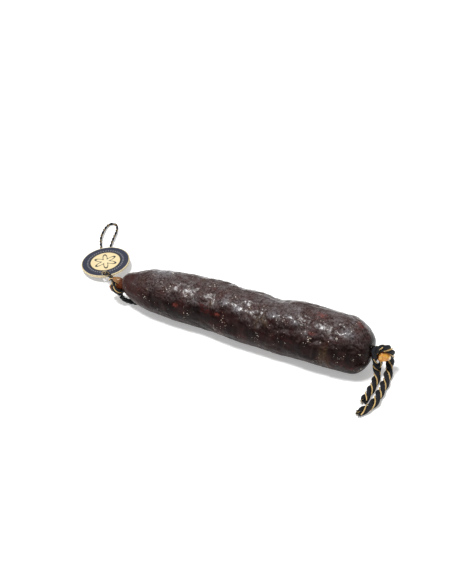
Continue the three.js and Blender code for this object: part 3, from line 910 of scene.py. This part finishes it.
def amber_parchment():
    """Empty casing dried hard: translucent amber skin, glossy, dark where it leaves the tie, pale at
    its rim and browner at the tapered end. Its clouds are about 3 mm and its crinkles 1 mm."""
    material, tree, shader = new_material("amber_parchment_casing")
    place = add_node(tree, "ShaderNodeTexCoord")
    spot = place.outputs["Object"]
    cloud = add_node(tree, "ShaderNodeTexNoise", {
        "Vector": spot, "Scale": 1 / (3.2 * MM), "Detail": 4, "Roughness": 0.6,
    })
    colour = add_node(tree, "ShaderNodeValToRGB", {"Fac": cloud.outputs["Fac"]}, ramp=[
        (0.3, "8A4516"), (0.42, "D08A34"), (0.58, "EDB356"), (0.75, "F8DFA6"),
    ])
    wrap = add_node(tree, "ShaderNodeUVMap", uv_map="wrap")
    travel = add_node(tree, "ShaderNodeSeparateXYZ", {0: wrap.outputs[0]})
    throat = add_node(tree, "ShaderNodeMapRange", {
        "Value": travel.outputs[1], "From Min": 2.0, "From Max": 3.6, "To Min": 0.85, "To Max": 0.0,
    })
    rim = add_node(tree, "ShaderNodeMapRange", {
        "Value": travel.outputs[1], "From Min": 10.2, "From Max": 11.0, "To Max": 0.8,
    })
    # darker reddish brown over the first few millimetres out of the tie
    darker_near_tie = add_node(tree, "ShaderNodeMix", {
        0: throat.outputs[0], 6: colour.outputs[0], 7: linear("4A1A10"),
    }, data_type="RGBA")
    rimmed = add_node(tree, "ShaderNodeMix", {
        0: rim.outputs[0], 6: darker_near_tie.outputs[2], 7: linear("F6E6C0"),
    }, data_type="RGBA")
    parts = add_node(tree, "ShaderNodeSeparateXYZ", {0: spot})
    smoked = add_node(tree, "ShaderNodeMapRange", {
        "Value": parts.outputs[0], "From Min": 0.0, "From Max": -0.1, "To Max": 0.72,
    })
    browned = add_node(tree, "ShaderNodeMix", {
        0: smoked.outputs[0], 6: rimmed.outputs[2], 7: linear("5C3216"),
    }, data_type="RGBA")
    gloss = add_node(tree, "ShaderNodeMapRange", {
        "Value": cloud.outputs["Fac"], "From Min": 0.3, "From Max": 0.7, "To Min": 0.4, "To Max": 0.2,
    })
    crinkle = add_node(tree, "ShaderNodeTexNoise", {"Vector": spot, "Scale": 1 / (1.1 * MM), "Detail": 3})
    bump = add_node(tree, "ShaderNodeBump", {
        "Height": crinkle.outputs["Fac"], "Strength": 0.7, "Distance": 0.25 * MM,
    })
    tree.links.new(browned.outputs[2], shader.inputs["Base Color"])
    tree.links.new(gloss.outputs[0], shader.inputs["Roughness"])
    tree.links.new(bump.outputs[0], shader.inputs["Normal"])
    shader.inputs["Subsurface Weight"].default_value = 0.5
    shader.inputs["Subsurface Radius"].default_value = (1.0, 0.45, 0.15)
    shader.inputs["Subsurface Scale"].default_value = 2.5 * MM
    shader.inputs["Coat Weight"].default_value = 0.4
    shader.inputs["Coat Roughness"].default_value = 0.15
    return material


PARCHMENT = amber_parchment()


def casing_end(name, start, heading, length, bulb_radius, tip_radius, folds, seed):
    """A pleated bulb of casing that narrows to a pinched tip. Places and lengths are in millimetres."""
    heading = np.array(heading) / np.linalg.norm(heading)
    share = np.linspace(0, 1, 44)
    line = (np.array(start) + heading * length * share[:, None]) * MM
    knots = [0, 0.32, 0.62, 1.0]
    widths = [NECK_RADIUS * 0.8, bulb_radius, bulb_radius * 0.82, tip_radius]
    radius = np.interp(share, knots, widths)
    radius = np.convolve(np.pad(radius, 4, mode="edge"), np.ones(9) / 9, mode="valid")
    radius *= np.sqrt(np.clip(1 - ((share - 0.86) / 0.145).clip(0) ** 2, 0.02, 1))
    across, upward = carried_frame(line)
    angle = np.linspace(0, 2 * pi, 72, endpoint=False)
    rings = []
    for i in range(len(line)):
        out = np.cos(angle)[:, None] * across[i] + np.sin(angle)[:, None] * upward[i]
        at = line[i] / MM + radius[i] * out
        wander = 0.8 * lumps(at, 4.0, seed)
        depth = 0.14 * (1 - 0.5 * abs(share[i] - 0.35))
        pleat = 1 - depth * (1 - np.abs(np.sin(folds / 2 * angle + wander + 1.5 * share[i])))
        rings.append(line[i] + (radius[i] * pleat)[:, None] * out * MM)
    settle(ringed_piece(name, [(np.array(rings), 0)], [PARCHMENT]), "dried_casing")


casing_end("blunt_end_casing", (113.2, -2.4, 21.0), (0.985, -0.13, -0.06),
           length=11.6, bulb_radius=5.7, tip_radius=1.5, folds=5, seed=11)
casing_end("tapered_end_casing", (-121.1, -0.3, 12.2), (-0.85, 0.25, 0.45),
           length=6.0, bulb_radius=2.9, tip_radius=1.6, folds=6, seed=12)
casing_end("tapered_end_fold", (-114.6, 2.4, 20.8), (-0.95, -0.1, 0.27),
           length=9.2, bulb_radius=3.4, tip_radius=1.5, folds=5, seed=13)


# ---- the ties -----------------------------------------------------------------------------------
# Each neck is bound tight with plies of the cotton cord. At the lower one they leave over the top and
# in front. The upper one has a hitch where each cord leaves, and its metallic thread has sprung up.

WRAP_RADIUS = 4.75
BINDING_GOLD_RADIUS = 0.46
BINDING_LAY_LENGTH = 12
BINDING_GOLD_LAY = 24


def across_axis(axis):
    """The axis as a unit vector, and two unit vectors across it."""
    axis = np.array(axis, dtype=float) / np.linalg.norm(axis)
    side = np.cross(axis, (0, 0, 1))
    side /= np.linalg.norm(side)
    return axis, side, np.cross(axis, side)


def bound_turns(middle, axis, start, turns, spread):
    """The route of a ply wound round a neck, in millimetres."""
    axis, side, over = across_axis(axis)
    turn = np.linspace(0, turns, 40)
    angle = 2 * pi * (turn + start)
    along = (turn / turns - 0.5) * spread
    return [tuple(np.array(middle) + axis * a + WRAP_RADIUS * (side * cos(t) + over * sin(t)))
            for a, t in zip(along, angle)]


def hitch(middle, axis, radius, lift, start):
    """A tight hitch: one and a half turns round the cord that leaves through it, in millimetres."""
    axis, side, over = across_axis(axis)
    turn = np.linspace(0, 1.55, 26)
    angle = 2 * pi * (turn + start)
    along = lift * np.sin(turn / 1.55 * pi * 2 - pi / 2)
    return [tuple(np.array(middle) + axis * a + radius * (side * cos(t) + over * sin(t)))
            for a, t in zip(along, angle)]


def tie(name, node, runs):
    """All the runs of cord of one tie, and its metallic thread as a second piece. A run is its route,
    the radius of each ply, how far the plies stand off its middle, and where they start, in turns."""
    tubes, gold = [], []
    for route, ply_radius, offset, start_turn in runs:
        line = laid_route(route, 0.35 * MM)
        for half in (0, 0.5) if offset else (0,):
            ply = wound_line(line, offset * MM, BINDING_LAY_LENGTH * MM, start_turn + half)
            strands = round_line(ply, ply_radius * MM, 18, ridges=5, ridge_height=0.1, ridge_turns=700)
            tubes.append((strands, 0))
        stand_off = (ply_radius + offset * 0.6) * MM
        thread = wound_line(line, stand_off, BINDING_GOLD_LAY * MM, start_turn + 0.25)
        gold.append((round_line(thread, BINDING_GOLD_RADIUS * MM, 8), 0))
    settle(ringed_piece(name, tubes, [COTTON]), "cord", node)
    settle(ringed_piece(name + "_gold", gold, [FOIL]), "gold_thread")


tie("lower_binding", "lower_tie", [
    (bound_turns((111.9, -2.8, 20.5), (1, 0, 0), 0.3, 1.2, 0.8), 1.7, 0.0, 0.0),
    ([(112.0, -7.4, 22.6), (112.2, -6.8, 26.6), (114.2, -5.2, 29.0), (117.8, -3.5, 29.1)], 1.6, 1.35, 0.1),
    ([(111.8, -6.2, 25.0), (112.0, -7.4, 20.6), (112.6, -7.2, 15.8), (113.8, -6.2, 11.6)], 1.45, 0.0, 0.3),
    ([(114.8, -2.6, 20.6), (116.8, -3.8, 17.0), (117.2, -5.0, 13.2), (115.6, -5.6, 9.8)], 1.4, 0.0, 0.6),
])
tie("upper_binding", "upper_tie", [
    (bound_turns((-119.0, 0.4, 14.8), (-0.7, -0.19, -0.68), 0.1, 2.1, 3.1), 1.5, 0.0, 0.2),
    (hitch((-114.8, -3.4, 13.8), (0.2, 0.2, -1), 1.5, 0.9, 0.1), 0.7, 0.6, 0.1),
    (hitch((-122.9, 3.6, 18.0), (-0.7, 0.6, 0.1), 1.5, 0.8, 0.5), 0.7, 0.6, 0.5),
    ([(-120.1, -4.6, 20.0), (-119.0, -5.9, 18.1), (-116.4, -6.6, 16.1), (-113.2, -6.0, 15.4),
      (-110.9, -4.1, 16.2), (-111.0, -2.7, 17.8)], 0.4, 0.0, 0.0),
    ([(-126.5, 0.5, 20.4), (-125.4, 1.9, 21.4), (-123.2, 2.0, 20.4), (-123.0, 0.4, 18.7)], 0.5, 0.0, 0.0),
])


# ---- floor and light ----------------------------------------------------------------------------
# A plain table of white opal acrylic, lit a little from below. A lamp hangs above it, a little to the
# left and in front, with a weak softbox beside it and a weak light behind. The room is dim and white.

SOFTBOX_PLACE = (-0.66, -0.80, 2.05)
SOFTBOX_SIZE = (1.5, 1.9)
SOFTBOX_POWER = 7
LAMP_PLACE = (-0.35, -0.46, 2.20)
LAMP_SIZE = (0.45, 0.45)
LAMP_POWER = 46
BACK_PLACE = (-0.30, 1.35, 1.05)
BACK_SIZE = (1.7, 1.1)
BACK_POWER = 5
ROOM_LIGHT = 0.12
TABLE_GLOW = 0.36
TABLE_REACH = 6.0


def opal_table():
    """A sheet of opal acrylic, sanded matt and lit a little from below, very slightly uneven. Sanding
    marks are too fine to show, so only broad mottles of about 125 mm are drawn."""
    material, tree, shader = new_material("sanded_opal_acrylic")
    place = add_node(tree, "ShaderNodeTexCoord")
    mottle = add_node(tree, "ShaderNodeTexNoise", {
        "Vector": place.outputs["Object"], "Scale": 8, "Detail": 2,
    })
    colour = add_node(tree, "ShaderNodeValToRGB", {"Fac": mottle.outputs["Fac"]}, ramp=[
        (0.3, "F4F4F4"), (0.7, "F7F7F7"),
    ])
    tree.links.new(colour.outputs[0], shader.inputs["Base Color"])
    shader.inputs["Roughness"].default_value = 0.9
    shader.inputs["Emission Color"].default_value = (1, 1, 1, 1)
    shader.inputs["Emission Strength"].default_value = TABLE_GLOW
    mesh = bpy.data.meshes.new("floor")
    corners = [(-TABLE_REACH, -TABLE_REACH, 0), (TABLE_REACH, -TABLE_REACH, 0),
               (TABLE_REACH, TABLE_REACH, 0), (-TABLE_REACH, TABLE_REACH, 0)]
    mesh.from_pydata(corners, [], [(0, 1, 2, 3)])
    mesh.materials.append(material)
    floor = bpy.data.objects.new("floor", mesh)
    bpy.context.collection.objects.link(floor)


def soft_lamp(name, place, size, power):
    """A rectangular lamp that faces the middle of the floor."""
    data = bpy.data.lights.new(name, "AREA")
    data.shape = "RECTANGLE"
    data.size, data.size_y = size
    data.energy = power
    light = bpy.data.objects.new(name, data)
    light.location = place
    light.rotation_mode = "QUATERNION"
    light.rotation_quaternion = Vector(place).to_track_quat("Z", "Y")
    bpy.context.collection.objects.link(light)


def room():
    """Even white light from all round, and colours shown as they are."""
    world = bpy.data.worlds.new("room")
    world.use_nodes = True
    world.node_tree.nodes["Background"].inputs["Color"].default_value = (1, 1, 1, 1)
    world.node_tree.nodes["Background"].inputs["Strength"].default_value = ROOM_LIGHT
    bpy.context.scene.world = world
    bpy.context.scene.view_settings.view_transform = "Standard"


opal_table()
soft_lamp("softbox", SOFTBOX_PLACE, SOFTBOX_SIZE, SOFTBOX_POWER)
soft_lamp("lamp", LAMP_PLACE, LAMP_SIZE, LAMP_POWER)
soft_lamp("back_light", BACK_PLACE, BACK_SIZE, BACK_POWER)
room()
